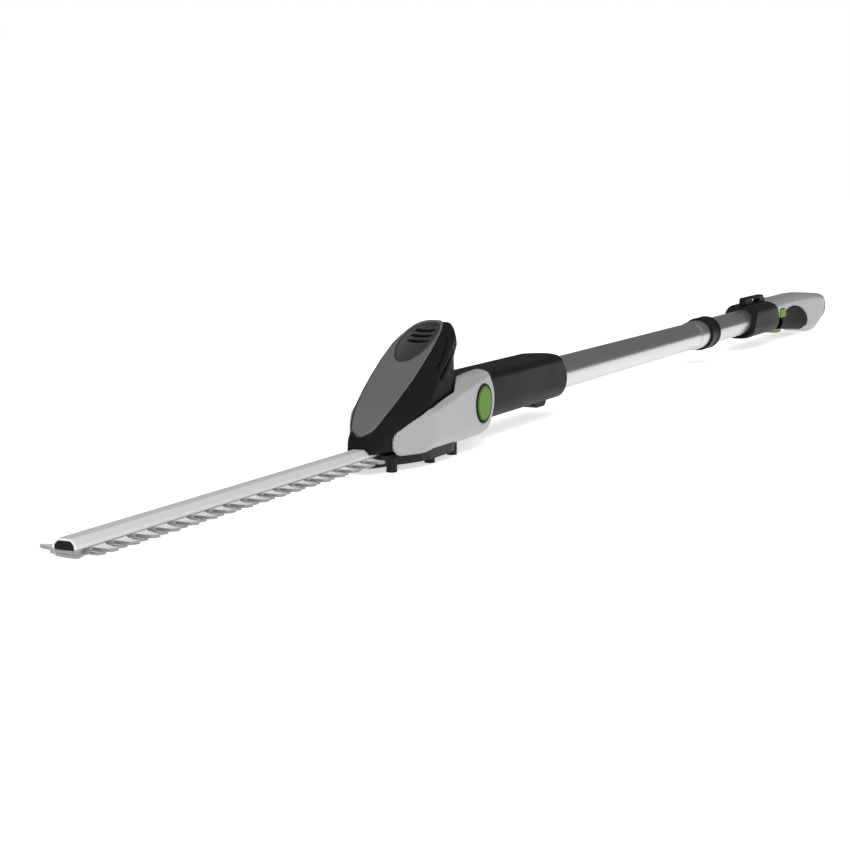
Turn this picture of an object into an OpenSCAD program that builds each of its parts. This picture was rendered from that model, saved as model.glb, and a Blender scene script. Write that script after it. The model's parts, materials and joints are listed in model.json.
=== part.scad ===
// Cordless long-reach hedge trimmer: cutter head on a jointed pole with a
// battery handle. X runs along the pole (+X to the handle end), Z is up.

/* [Pole] */
// Outer diameter of the pole tubes
tube_d = 35; // [34:0.5:35.5]
// Wall thickness of the pole tubes
tube_wall = 1.5; // [1:0.1:2]
// Length of the front pole section
front_tube_len = 662; // [500:1:700]

/* [Blades] */
// Distance from one tooth to the next
tooth_pitch = 23.5; // [22:0.1:24]
// Number of teeth on each side
tooth_count = 17; // [8:1:17]
// Reach of the long teeth from the blade centre line
long_reach = 25.8; // [22:0.1:27]
// Reach of the short lower teeth from the blade centre line
short_reach = 17.5; // [14:0.1:20]
// Thickness of each blade
blade_t = 2.2; // [1.8:0.1:2.2]
// Throw of each crank eccentric
crank_throw = 6; // [4:0.1:6]

/* [Head] */
// Half width of the motor housing
head_half = 34.7; // [33:0.1:35]
// Wall thickness of the mouldings
wall = 2.5; // [2:0.1:3]
// Number of teeth on the drive gear
gear_teeth = 32; // [28:1:32]
// Number of teeth on the motor pinion
pinion_teeth = 11; // [10:1:12]

/* [Handle] */
// Half width of the handle grip
grip_half = 22; // [21:0.1:23]
// Height of the strap slot
slot_h = 6; // [4:0.5:7]
// Diameter of one battery cell
cell_d = 18; // [17:0.1:18]

/* [Hidden] */
$fn = 48;

// Shift from the pivot-centred layout to the bottom centre of the whole tool
shift = [-466.25, 0, 39];

tube_r = tube_d/2;
bore_r = tube_r - tube_wall;
sock_r = tube_r + 0.08;
tube_x0 = 850 - front_tube_len;
flare_x = 778;

dark = "#242424";
silver = "#c4c4c6";
green = "#6f9c12";
panel_grey = "#666666";
steel = "#c8c8cc";
alu = "#b4b4b8";

// ---- outline helpers -------------------------------------------------
function unit(v) = v/norm(v);
function left_n(v) = [-v[1], v[0]]/norm(v);
function area2(p) = let(n = len(p))
  [for (i = 0, s = p[n-1][0]*p[0][1] - p[0][0]*p[n-1][1]; i < n;
        i = i + 1, s = i < n ? s + p[i-1][0]*p[i][1] - p[i][0]*p[i-1][1] : s) s][n-1];
// moves every edge of an outline inwards by d
function inset(p, d) = let(n = len(p), s = area2(p) > 0 ? 1 : -1)
  [for (i = [0:n-1]) let(a = p[(i+n-1)%n], b = p[i], c = p[(i+1)%n],
     n1 = left_n(b-a)*s, n2 = left_n(c-b)*s, m = unit(n1+n2)) b + m*(d/(m*n1))];
// rounds corner b between a and c with radius r in k steps
function corner(a, b, c, r, k) = r <= 0 ? [b] :
  let(u = unit(a-b), v = unit(c-b), h = acos(max(-1, min(1, u*v)))/2,
      ctr = b + unit(u+v)*(r/sin(h)), s = b + u*(r/tan(h)) - ctr, e = b + v*(r/tan(h)) - ctr,
      a0 = atan2(s[1], s[0]), a1 = atan2(e[1], e[0]),
      d0 = a1 - a0, d = d0 > 180 ? d0-360 : d0 < -180 ? d0+360 : d0)
  [for (i = [0:k]) ctr + r*[cos(a0+d*i/k), sin(a0+d*i/k)]];
// outline from [x, y, radius] points
function rounded(v, k = 5) = let(n = len(v)) [for (i = [0:n-1])
  each corner([v[(i+n-1)%n][0], v[(i+n-1)%n][1]], [v[i][0], v[i][1]],
              [v[(i+1)%n][0], v[(i+1)%n][1]], v[i][2], k)];
function rbox(x0, y0, x1, y1, r, k = 5) =
  rounded([[x0,y0,r],[x1,y0,r],[x1,y1,r],[x0,y1,r]], k);
function arc(c, r, a0, a1, k = 12) =
  [for (i = [0:k]) c + r*[cos(a0+(a1-a0)*i/k), sin(a0+(a1-a0)*i/k)]];
function ellipse(c, a, b, t, k = 40) = [for (i = [0:k-1]) let(w = 360*i/k)
  c + [a*cos(w)*cos(t) - b*sin(w)*sin(t), a*cos(w)*sin(t) + b*sin(w)*cos(t)]];

// ---- extrusions along each axis ---------------------------------------
module side(y0, y1, p) translate([0, y1, 0]) rotate([90,0,0]) linear_extrude(y1-y0) polygon(p);
module plan(z0, z1, p) translate([0, 0, z0]) linear_extrude(z1-z0) polygon(p);
module front(x0, x1, p) translate([x0, 0, 0]) rotate([90,0,90]) linear_extrude(x1-x0) polygon(p);
module xcyl(x0, x1, r, y = 0, z = 0) translate([x0, y, z]) rotate([0,90,0]) cylinder(h = x1-x0, r = r);
module ycyl(y0, y1, r, x = 0, z = 0) translate([x, y1, z]) rotate([90,0,0]) cylinder(h = y1-y0, r = r);
module zcyl(z0, z1, r, x = 0, y = 0) translate([x, y, z0]) cylinder(h = z1-z0, r = r);
module box(a, b) translate(a) cube(b-a);
// half space n.p <= c moved inwards by d
module below(n, c, d = 0) rotate([0, acos(n[2]/norm(n)), atan2(n[1], n[0])])
  translate([-500, -500, c/norm(n)-d-900]) cube([1000, 1000, 900]);
module half(s) { if (s < 0) box([-700,-60,-60],[1700,-0.02,120]); else box([-700,0.02,-60],[1700,60,120]); }
// coil spring of wire radius w swept along +Z
function coil_pt(r, h, n, t) = [r*cos(360*n*t), r*sin(360*n*t), h*t];
module coil(r, w, h, n, seg = 14, k = 6) {
  m = round(n*seg);
  pts = [for (i = [0:m]) let(t = i/m, c = coil_pt(r, h, n, t), a = 360*n*t)
    for (j = [0:k-1]) let(b = 360*j/k) c + w*[cos(b)*cos(a), cos(b)*sin(a), sin(b)]];
  faces = concat([[for (j = [0:k-1]) j]],
    [for (i = [0:m-1]) for (j = [0:k-1]) [i*k+j, (i+1)*k+j, (i+1)*k+(j+1)%k, i*k+(j+1)%k]],
    [[for (j = [k-1:-1:0]) m*k+j]]);
  polyhedron(points = pts, faces = faces, convexity = 10);
}

// ---- head outlines -----------------------------------------------------
pivot_z = 3;
pivot = [0, pivot_z];
tongue_r = 26;
head_side = [[-176.5,-24.4],[-176,-13],[-174.6,-8.6],[-171,-4.5],[-156,8],[-142,17.5],[-128,26.2],[-110,36.8],
  [-90,48.8],[-70,60.2],[-58,66.4],[-45,72.4],[-35,76.3],[-25,78.6],[-18,78],[-13,74],[-11,66],[-12,55],
  [-14,44],[-16,34],[-21,30],[-30,24],[-32,-6],[-24,-24.4]];
head_plan = [[-176.5,0],[-176.5,8.4],[-174.4,11],[-170,12.9],[-160,16.4],[-150,19.4],[-140,23.6],[-130,28],[-120,31.8],
  [-105,34.5],[-60,34.7],[-48,30.4],[-36,25.8],[-26,20.5],[-17,13.5],[-11,5],[-11,0]];
head_plan_full = concat(head_plan, [for (i = [len(head_plan)-2:-1:1]) [head_plan[i][0], -head_plan[i][1]]]);
head_front = rounded([[-head_half,-24.4,0],[head_half,-24.4,0],[head_half,14,6],[27.5,62,6],[22,79,10],[-22,79,10],[-27.5,62,6],[-head_half,14,6]]);
panel_half = [[-173,-6.5,0],[-171,-4.5,5.5],[-166,0,10.6],[-156,8,14.2],[-142,17.5,17],[-128,26.2,18.8],[-110,36.8,20.2],
  [-90,48.8,20.6],[-70,60.2,19.8],[-58,66.4,18.4],[-45,72.4,16],[-35,76.3,13],[-27,78.4,8.6],[-23,78.6,5],[-21,78.5,0]];
panel_plan = concat([for (p = panel_half) [p[0], p[2]]],
  [for (i = [len(panel_half)-2:-1:1]) [panel_half[i][0], -panel_half[i][2]]]);
cover_side = rounded([[-152,-26.3,10],[-24,-26.3,0],[12,-25.5,24],[31,6,24],[11,33.2,9],[-33,30.8,8],[-42,27.6,4],
  [-60,24.5,6],[-78,19.5,10],[-112,9.5,30],[-131,2,20],[-152,-8,11.5]]);
cover_half = [[-156,0],[-156,17.6],[-150,21.3],[-140,26.4],[-130,31.2],[-120,35.2],[-112,37.2],[-105,38],[45,38],[45,0]];
cover_full = concat(cover_half, [for (i = [len(cover_half)-2:-1:1]) [cover_half[i][0], -cover_half[i][1]]]);

// body of the motor housing before it is hollowed
module head_solid(d) intersection() {
  side(-60, 60, inset(head_side, d));
  plan(-60, 120, inset(head_plan_full, d));
  front(-250, 40, inset(head_front, d));
  // flanks that fall away from the top panel, and the crown
  for (s = [-1, 1]) below([-0.3, s, 0.516], 73.5, d);
  for (s = [-1, 1]) below([-0.4, s, 1.9], 172, d);
}
// cross-section of the blade cover
cover_sec = rounded([[-9,-24.6,0],[9,-24.6,0],[8.9,-21.4,3.4],[5.2,-17.6,2.6],[-5.2,-17.6,2.6],[-8.9,-21.4,3.4]], 4);
oval_c = [-62, 65];
oval_slope = 22;

module oval_cut(a, b, z0, z1) translate([oval_c[0], 0, oval_c[1]]) rotate([0, -oval_slope, 0])
  translate([0,0,z0]) linear_extrude(z1-z0) polygon(ellipse([0,0], a, b, 0));

// two long air slots low on each flank
module side_vents(s) for (v = [[-45,67.5,-80,40.5],[-45,55,-80,32]])
  translate([v[0], 0, v[1]]) rotate([0, -atan2(v[1]-v[3], v[0]-v[2]), 0])
    box([-norm([v[0]-v[2], v[1]-v[3]]), s > 0 ? 17 : -50, -1.3], [0, s > 0 ? 50 : -17, 1.3]);

module housing_half(s) color(dark) difference() {
  intersection() { head_solid(0); half(s); }
  difference() {
    head_solid(wall);
    // rib that carries the motor bracket
    for (y = [-21, 21]) zcyl(-30, -10.1, 4.4, -126, y);
    for (y = [-21, 21]) box([-127.5, min(y, y*1.7), -30], [-124.5, max(y, y*1.7), -10.1]);
  }
  // open underside over the gear case
  intersection() { box([-171,-60,-30],[-34,60,-18]); plan(-30, 0, inset(head_plan_full, wall)); }
  // blade cover passes through the nose
  front(-200, -150, inset(cover_sec, -0.25));
  box([-200,-9.55,-30],[-160,9.55,-24]);
  // swing of the pole knuckle
  ycyl(-25.3, 25.3, tongue_r+1.5, 0, pivot_z);
  // recess for the top panel and its vent
  intersection() { side(-60, 60, concat([for (p = panel_half) [p[0], p[1]-2.6]], [[-20,120],[-220,120]])); plan(-30, 120, inset(panel_plan, -0.15)); }
  intersection() { side(-60, 60, concat([for (p = panel_half) [p[0], p[1]-4.6]], [[-20,120],[-220,120]])); oval_cut(35.2, 16.2, -20, 30); }
  intersection() { ycyl(-60, 60, 29.2, 0, pivot_z); }
  box([-31.5,-60,-30],[20,60,33.8]);
  side_vents(s);
  zcyl(-30, -9, 1.8, -126, s*21);
}
module motor_housing_left() housing_half(-1);
module motor_housing_right() housing_half(1);

module top_panel() color(panel_grey) difference() {
  intersection() {
    side(-30, 30, concat([for (p = panel_half) [p[0], p[1]]], [for (i = [len(panel_half)-1:-1:0]) [panel_half[i][0], panel_half[i][1]-2.4]]));
    plan(-30, 120, panel_plan);
    front(-250, 40, head_front);
  }
  oval_cut(35.3, 16.3, -20, 30);
}
module vent_insert() color("#4a4a4a") difference() {
  intersection() {
    oval_cut(35, 16, -9.5, 8);
    side(-30, 30, concat([for (p = panel_half) [p[0], p[1]-0.6]], [for (i = [len(panel_half)-1:-1:0]) [panel_half[i][0], panel_half[i][1]-4.4]]));
  }
  // dished face
  intersection() {
    oval_cut(32.6, 13.8, -20, 30);
    side(-30, 30, concat([for (p = panel_half) [p[0], p[1]+3]], [for (i = [len(panel_half)-1:-1:0]) [panel_half[i][0], panel_half[i][1]-2.4]]));
  }
  // three air slots across the upper half
  for (i = [0:2]) translate([oval_c[0], 0, oval_c[1]]) rotate([0,-oval_slope,0])
    translate([2 + i*8.6, 0, -12]) linear_extrude(30) polygon(rbox(-2, -10.5+i*0.4, 2, 10.5-i*0.4, 1.9));
}

module cover_plate(s) color(silver) difference() {
  intersection() {
    side(s > 0 ? 0 : -60, s > 0 ? 60 : 0, cover_side);
    plan(-60, 60, cover_full);
    union() {
      // outer plate, wrapped on the motor housing
      difference() {
        box([-200, s > 0 ? 15 : -40, -30], [-31.4, s > 0 ? 40 : -15, 60]);
        plan(-60, 80, inset(head_plan_full, -0.12));
        box([-40,-25.6,-60],[0,25.6,80]);
      }
      // cheek at the knuckle
      box([-31.41, s > 0 ? 25.6 : -38, -30], [40, s > 0 ? 38 : -25.6, 60]);
    }
    front(-250, 60, rounded([[-38,-21.5,3],[-35.2,-26.6,0],[35.2,-26.6,0],[38,-21.5,3],[38,22.5,4],[28.5,34,3],[-28.5,34,3],[-38,22.5,4]]));
    // top bevel falls towards the blade
    side(-60, 60, [[-200,-60],[60,-60],[60,40],[-40,40],[-200,8]]);
  }
  ycyl(s > 0 ? 0 : -31.2, s > 0 ? 31.2 : 0, 6.03, 0, pivot_z);
  ycyl(s > 0 ? 31.1 : -60, s > 0 ? 60 : -31.1, 17.6, 0, pivot_z);
  // spring seat
  difference() { ycyl(s > 0 ? 27.2 : -60, s > 0 ? 60 : -27.2, 12.2, 0, pivot_z); ycyl(-60, 60, 8, 0, pivot_z); }
}
module side_cover_left() cover_plate(-1);
module side_cover_right() cover_plate(1);

boss_at = [[-148,17.5],[-89,25],[-40,24]];
base_plan = [[-172,0],[-172,8.4],[-168,11.4],[-160,15],[-150,18.3],[-140,22.6],[-130,27],[-118,31.2],[-105,33],[-90,33.4],
  [-60,33.2],[-46,29.2],[-36,25.2],[-28,20.5],[-24,14],[-23,0]];
base_full = concat(base_plan, [for (i = [len(base_plan)-2:-1:1]) [base_plan[i][0], -base_plan[i][1]]]);
module gearbox_base() color("#202020") difference() {
  union() {
    difference() {
      plan(-33.5, -24.7, base_full);
      plan(-31.6, -20, inset(base_full, wall));
      // mouth that the blades run through
      box([-200,-40,-31.6],[-161.5,40,-20]);
      // chamfer along the lower rear edge
      side(-60, 60, [[-42,-40],[-42,-33.5],[-10,-26],[-10,-40]]);
    }
    intersection() {
      side(-60, 60, [[-45,-33.2],[-42,-33.5],[-18,-27.9],[-18,-25.9],[-42,-31.6],[-45,-31.7]]);
      plan(-40, -20, base_full);
    }
    for (b = boss_at, s = [-1, 1]) zcyl(-39, -26.7, 4.6, b[0], s*b[1]);
    intersection() {
      for (b = boss_at, s = [-1, 1]) zcyl(-27, -24.7, 4.6, b[0], s*b[1]);
      plan(-30, -20, base_full);
    }
  }
  for (b = boss_at, s = [-1, 1]) {
    zcyl(-40, -34.5, 2.8, b[0], s*b[1]);
    zcyl(-40, -20, 1.5, b[0], s*b[1]);
  }
  ycyl(-60, 60, tongue_r+1.5, 0, pivot_z);
}
module base_screws() color(steel) for (b = boss_at, s = [-1, 1]) {
  difference() { zcyl(-37.4, -34.5, 2.6, b[0], s*b[1]); zcyl(-38, -36, 1.2, b[0], s*b[1]); }
  zcyl(-34.6, -24.9, 1.4, b[0], s*b[1]);
}

// ---- drive -------------------------------------------------------------
gear_m = 1.5;
gear_x = -100.25;
pin_x = gear_x + gear_m*(gear_teeth+pinion_teeth)/2;
gp_r = gear_m*gear_teeth/2;
pp_r = gear_m*pinion_teeth/2;
// straight-flanked spur outline with backlash
function gear_pts(n, m, ph) = let(r = m*n/2, ro = r+0.9*m, ri = r-1.2*m, q = 360/n)
  [for (i = [0:n-1]) let(a = i*q+ph) each [
    ri*[cos(a-q*0.34), sin(a-q*0.34)], r*[cos(a-q*0.225), sin(a-q*0.225)], ro*[cos(a-q*0.105), sin(a-q*0.105)],
    ro*[cos(a+q*0.105), sin(a+q*0.105)], r*[cos(a+q*0.225), sin(a+q*0.225)], ri*[cos(a+q*0.34), sin(a+q*0.34)]]];
module drive_gear() color("#8d8d92") translate([gear_x,0,0]) difference() {
  plan(-19.5, -14, gear_pts(gear_teeth, gear_m, 0));
  translate([0,0,-20]) cylinder(h = 10, r = 5.02);
  for (a = [0:60:300]) rotate(a+30) translate([13.5,0,-20]) cylinder(h = 10, r = 4.4);
}
module crank_shaft() color(steel) translate([gear_x,0,0]) {
  translate([0,0,-24.8]) cylinder(h = 18.8, r = 5);
  translate([0,crank_throw,-27.25]) cylinder(h = 2.5, r = 8.5);
  translate([0,-crank_throw,-29.7]) cylinder(h = 2.5, r = 8.5);
}
module gear_bearings() color(steel) translate([gear_x,0,0]) {
  translate([0,0,-24.5]) difference() { cylinder(h = 4.3, r = 9); translate([0,0,-1]) cylinder(h = 8, r = 5.04); }
  translate([0,0,-9.9]) difference() { cylinder(h = 3.8, r = 9); translate([0,0,-1]) cylinder(h = 8, r = 5.04); }
}
module gear_plate() color("#9a9a9e") difference() {
  plan(-24.5, -20.2, rounded([[-134,-18,4],[-112,-27,6],[-64,-27,8],[-46,-21,6],[-46,21,6],[-64,27,8],[-112,27,6],[-134,18,4]]));
  zcyl(-30, -10, 9, gear_x);
  for (y = [-25, 25]) zcyl(-30, -10, 1.4, -89, y);
}
module motor_bracket() color("#9a9a9e") difference() {
  union() {
    plan(-10, -6, rbox(-133, -24, -46, 24, 9));
    for (x = [-128, -51], y = [-12, 12]) zcyl(-20.2, -9.9, 2.8, x, y);
  }
  zcyl(-30, 0, 9, gear_x);
  zcyl(-30, 0, 11, pin_x);
  for (x = [-128, -51], y = [-12, 12]) zcyl(-30, 0, 1.4, x, y);
  for (y = [-21, 21]) zcyl(-30, 0, 1.8, -126, y);
}
module motor_can() color("#77777c") translate([pin_x,0,0]) difference() {
  translate([0,0,-6]) cylinder(h = 44, r = 17.5);
  translate([0,0,-3.5]) cylinder(h = 39, r = 16);
  translate([0,0,-10]) cylinder(h = 60, r = 3.05);
  for (a = [0:60:300]) rotate(a) translate([10.5,0,30]) cylinder(h = 20, r = 2.6);
}
module motor_shaft() color(steel) zcyl(-19.6, 47.5, 3, pin_x);
module motor_armature() color("#9c5a2c") translate([pin_x,0,0]) difference() {
  union() {
    translate([0,0,0]) cylinder(h = 24, r = 13.6);
    translate([0,0,24]) cylinder(h = 8.5, r = 7);
  }
  translate([0,0,-2]) cylinder(h = 50, r = 3.02);
  for (i = [0:6]) rotate(i*360/7) box([8,-1.2,-1],[20,1.2,25]);
}
module pinion() color("#8d8d92") translate([pin_x,0,0]) difference() {
  plan(-19.4, -12, gear_pts(pinion_teeth, gear_m, 180+180/pinion_teeth));
  translate([0,0,-30]) cylinder(h = 30, r = 3.02);
}
module cooling_fan() color("#303030") translate([pin_x,0,0]) difference() {
  union() {
    translate([0,0,39.2]) cylinder(h = 1.4, r = 14.5);
    translate([0,0,39.2]) cylinder(h = 8, r = 5.5);
    for (i = [0:8]) rotate(i*40) box([4.5,-0.7,40],[14.3,0.7,46.4]);
  }
  translate([0,0,30]) cylinder(h = 30, r = 3.02);
}

// ---- blades ------------------------------------------------------------
tip_x = -559;
top_z = -25;
guide_x = [for (i = [0:6]) -548 + i*56];
// one tooth, front edge at x, on the side s, reaching out to r
function tooth(x, s, r, w) = let(k = (r-8)/(25.8-8)) [
  [x-3.6, s*8], [x-1.2, s*(8+0.9*k)], [x, s*(8+2.6*k)], [x-0.4, s*(8+8*k)], [x-0.6, s*(8+14.3*k)],
  [x+1.4, s*(8+16.4*k)], [x+5.6, s*(8+17.8*k)], [x+6.9, s*(8+17.2*k)], [x+7.1, s*(8+14*k)],
  [x+8.8+w, s*(8+9*k)], [x+11.4+w, s*(8+4.6*k)], [x+14.6, s*(8+1.2*k)], [x+17.4, s*8]];
near_teeth = function (r, o) [for (i = [0:tooth_count-1]) each tooth(tip_x+o+i*tooth_pitch, -1, r, 0)];
far_teeth = function (r, o) [for (i = [tooth_count-1:-1:1]) let(t = tooth(tip_x-11.5+o+i*tooth_pitch, 1, r, 0))
  each [for (j = [len(t)-1:-1:0]) t[j]]];
tail_x = gear_x + 15.2;
function blade_pts(r, o) = concat(
  [[-575.4, -3.8], [-575.5, -9.2], [-574.2, -10.4], [-571, -10.3], [-566, -8.6]],
  near_teeth(r, o), [[-128, -8], [-119.6, -17.8], [tail_x-1.5, -17.8], [tail_x, -16.3], [tail_x, 16.3],
  [tail_x-1.5, 17.8], [-119.6, 17.8], [-128, 8]], far_teeth(r, o),
  [[-553.5, 8], [-556, 9.2], [-559, 12], [-561.4, 8+(r-8)*0.7], [-563, 8+(r-8)*0.94], [-565.6, 8+(r-8)*0.985],
   [-567.4, 8+(r-8)*0.85], [-569.4, 8+(r-8)*0.4], [-573.2, 7.3], [-574.8, 1.5]]);
module blade(z, r, o, e) color(steel) difference() {
  plan(z, z+blade_t, blade_pts(r, o));
  // yoke around the eccentric
  plan(z-1, z+blade_t+1, rbox(gear_x-9.1, -15.2, gear_x+9.1, 15.2, 3));
  for (x = guide_x) plan(z-1, z+blade_t+1, rbox(x-9.4, -2.75, x+9.4, 2.75, 2.7));
}
module upper_blade() blade(top_z-blade_t, long_reach, 0, 1);
module lower_blade() blade(top_z-2*blade_t-0.2, short_reach, -2, -1);
module blade_screws() color("#55555a") for (x = guide_x) {
  zcyl(top_z-2*blade_t-0.3, -23, 2.6, x);
  zcyl(-30.6, -29.7, 5, x);
  difference() { zcyl(-32, -30.5, 4, x); zcyl(-33, -31.2, 1.6, x); }
}
module blade_beam() color("#7b7b80") difference() {
  union() {
    plan(-24.9, -22.4, rbox(-566, -6.6, -137, 6.6, 2));
    plan(-24.9, -22.4, rbox(-152, -7.5, -137, 7.5, 1));
  }
  for (x = guide_x) zcyl(-30, -20, 2.6, x);
}
module blade_cover() color("#c9c9cd") difference() {
  front(-574.2, -158, cover_sec);
  front(-580, -150, concat([[-7.6,-30],[7.6,-30]], [for (p = inset(cover_sec, 1.6)) if (p[1] > -22) p]));
}
module cover_end_cap() color(dark)
  front(-574.8, -566.2, concat([[-7.2,-24.5],[7.2,-24.5]], [for (p = inset(cover_sec, 1.63)) if (p[1] > -22) p]));

// ---- knuckle -----------------------------------------------------------
module pivot_pin() color(steel) ycyl(-31, 31, 6, 0, pivot_z);
module pivot_bezels() color(dark) for (s = [-1, 1]) difference() {
  ycyl(s > 0 ? 31.2 : -38.7, s > 0 ? 38.7 : -31.2, 17.6, 0, pivot_z);
  ycyl(-60, 60, 15.75, 0, pivot_z);
}
module pivot_button(s) color(green) difference() {
  union() {
    ycyl(s > 0 ? 34.3 : -38.8, s > 0 ? 38.8 : -34.3, 15.4, 0, pivot_z);
    ycyl(s > 0 ? 38.7 : -39.5, s > 0 ? 39.5 : -38.7, 14.4, 0, pivot_z);
  }
  ycyl(s > 0 ? 30 : -36.6, s > 0 ? 36.6 : -30, 12.8, 0, pivot_z);
}
module pivot_button_left() pivot_button(-1);
module pivot_button_right() pivot_button(1);
module pivot_springs() color(steel) for (s = [-1, 1])
  translate([0, s*28, pivot_z]) rotate([-s*90,0,0]) coil(10.1, 0.7, 7.6, 3);
module pivot_tongue() color("#2b2b2b") difference() {
  union() {
    ycyl(-22, 22, tongue_r, 0, pivot_z);
    front(4, 62, rbox(-22,-17,22,22,4));
  }
  ycyl(-30, 30, 6.05, 0, pivot_z);
  front(38, 70, rbox(-18,-13,18,18,3));
  for (a = [70:40:290]) ycyl(-30, 30, 4, 16*cos(a), pivot_z+16*sin(a));
  // washers' seats
  for (s = [-1, 1]) ycyl(s > 0 ? 21 : -30, s > 0 ? 30 : -21, 9, 0, pivot_z);
  // sharp corners kept inside the knuckle radius
  difference() { box([-40,-30,-40],[27,30,40]); ycyl(-40, 40, 27.2, 0, pivot_z); box([20,-40,-30],[50,40,40]); }
}

// ---- connector -----------------------------------------------------------
con_sec = rounded([[-25,-21,16],[25,-21,16],[25,25,7],[-25,25,7]], 7);
module con_outer() intersection() {
  front(27.3, 258, con_sec);
  rotate([90,0,90]) rotate_extrude($fn = 96) polygon([[0,0],[40,0],[40,226],[31,236],[24.6,250],[21.4,256],[20.6,258],[0,258]]);
  side(-60, 60, rounded([[27.3,-21,10],[262,-21,0],[262,25,0],[27.3,25,9]]));
}
module con_half(s) color("#262626") difference() {
  intersection() { con_outer(); half(s); }
  front(20, 62.2, rbox(-22.02,-17.02,22.02,22.02,4));
  front(62, 172, inset(con_sec, wall));
  // knuckle clearance
  ycyl(-22.02, 22.02, tongue_r+0.02, 0, pivot_z);
  xcyl(184, 300, sock_r);
  xcyl(171, 185, 12);
  // latch window
  plan(-40, -10, rbox(196.6, -9.3, 233.4, 9.3, 3));
  for (x = [78, 165]) ycyl(-21, 30, 1.6, x, -13);
  for (x = [78, 165]) ycyl(20, 30, 3.4, x, -13);
}
module connector_left() con_half(-1);
module connector_right() con_half(1);
module connector_screws() color(steel) for (x = [78, 165]) {
  ycyl(-20.8, 20.1, 1.5, x, -13);
  difference() { ycyl(20.05, 22, 3.1, x, -13); ycyl(21, 23, 1.4, x, -13); }
}
module contact_socket() color("#333336") difference() {
  xcyl(172.2, 183.6, 11.8);
  for (a = [90, 210, 330]) xcyl(175, 190, 2, 6*cos(a), 6*sin(a));
}
module pole_latch() color("#1f1f1f") intersection() {
  plan(-27, -19.9, rbox(197, -9, 233, 9, 3));
  side(-20, 20, rounded([[197,-19.9,0],[197,-24,2],[205,-27,2],[226,-27,3],[233,-22.5,1],[233,-19.9,0]]));
}

// ---- pole ----------------------------------------------------------------
module extension_tube() color(alu) difference() {
  union() {
    xcyl(tube_x0, 773, tube_r);
    translate([771.9,0,0]) rotate([0,90,0]) rotate_extrude($fn = 96) polygon([[0,0],[tube_r,0],[tube_r+1.4,6],[tube_r+1.4,78.1],[0,78.1]]);
  }
  xcyl(tube_x0-1, 775, bore_r);
  xcyl(774, 860, sock_r);
}
module joint_collar() color(dark) translate([811,0,0]) rotate([0,90,0]) rotate_extrude($fn = 96)
  polygon([[tube_r+1.43,0],[20.6,0],[21.6,1.2],[21.6,9],[20.9,10],[20.9,30],[21.7,31],[21.7,38.6],[20.6,40.2],[tube_r+0.3,40.2],[tube_r+0.3,39.2],[tube_r+1.43,39.2]]);
module extension_wiring() color("#c0392b") {
  xcyl(204, 760, 2.4);
  xcyl(190, 205, 11);
  for (a = [90, 210, 330]) xcyl(177, 190.5, 1.6, 6*cos(a), 6*sin(a));
  xcyl(758, 770, 11);
}
module rear_tube() color(alu) difference() {
  xcyl(778.2, 1121, tube_r);
  xcyl(770, 1130, bore_r);
}

// ---- handle ----------------------------------------------------------------
rear_sec = rounded([[-24,-22,15],[24,-22,15],[24,24.5,13],[-24,24.5,13]], 7);
hand_side = [[1120,24.5],[1120,-21.5],[1165,-21.5],[1205,-22],[1243,-25.2],[1280,-28],[1320,-30.4],[1345,-33.6],[1362,-36.4],[1377,-38.3],
  [1395,-39],[1411,-38.2],[1432,-34.4],[1453,-28.6],[1470,-24.4],[1485,-19.8],[1497,-13.4],[1505,-6.4],[1508,0],[1506.5,4.8],[1499,9.6],
  [1480,15],[1455,18.2],[1425,20.6],[1385,22.6],[1327,24.2],[1240,24.5]];
hand_half = [[1120,24],[1165,23.4],[1200,22],[1250,20.6],[1300,21],[1345,22.6],[1385,23.8],[1425,24],[1455,24],[1478,23.2],[1490,21.6],
  [1499,18],[1505,12],[1508,5]];
hand_plan = concat(hand_half, [for (i = [len(hand_half)-1:-1:0]) [hand_half[i][0], -hand_half[i][1]]]);
hand_sec = rounded([[-24,-40,12],[24,-40,12],[24,24.5,13],[-24,24.5,13]], 7);
module hand_solid(d) intersection() {
  side(-60, 60, inset(hand_side, d));
  plan(-60, 60, inset(hand_plan, d));
  front(1120+d, 1520, inset(hand_sec, d));
}
rear_zone = [[989,-60],[1064,60],[1130,60],[1136,24.5],[1146,19.5],[1154,13],[1160,6],[1163,0],[1164,-60]];
grip_zone = [[1164.2,-60],[1163.4,-1.8],[1200,-1.8],[1210,3.6],[1230,7.4],[1254,9],[1275,9],[1292,7.8],[1310,5.4],[1325,2.2],
  [1340,-2.8],[1350,-7.6],[1356,-12.4],[1359,-17],[1357.6,-21.5],[1352,-25.6],[1340,-29.4],[1331,-60]];
cav_x1 = 1445;
screw_at = [[1262,-17.5],[1328,-17]];
bat_sec = rbox(-20.3, -24.3, 20.3, 15, 9.5);
module hand_cavity() {
  difference() {
    hand_solid(wall);
    box([1100,-60,-60],[1122,60,60]);
    // screw posts
    for (b = screw_at) ycyl(-30, 30, 4, b[0], b[1]);
  }
  front(1370, 1600, inset(bat_sec, -0.4));
}
module trigger_slot() plan(-60, -2, rbox(1176, -9.5, 1247, 9.5, 2));
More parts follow.
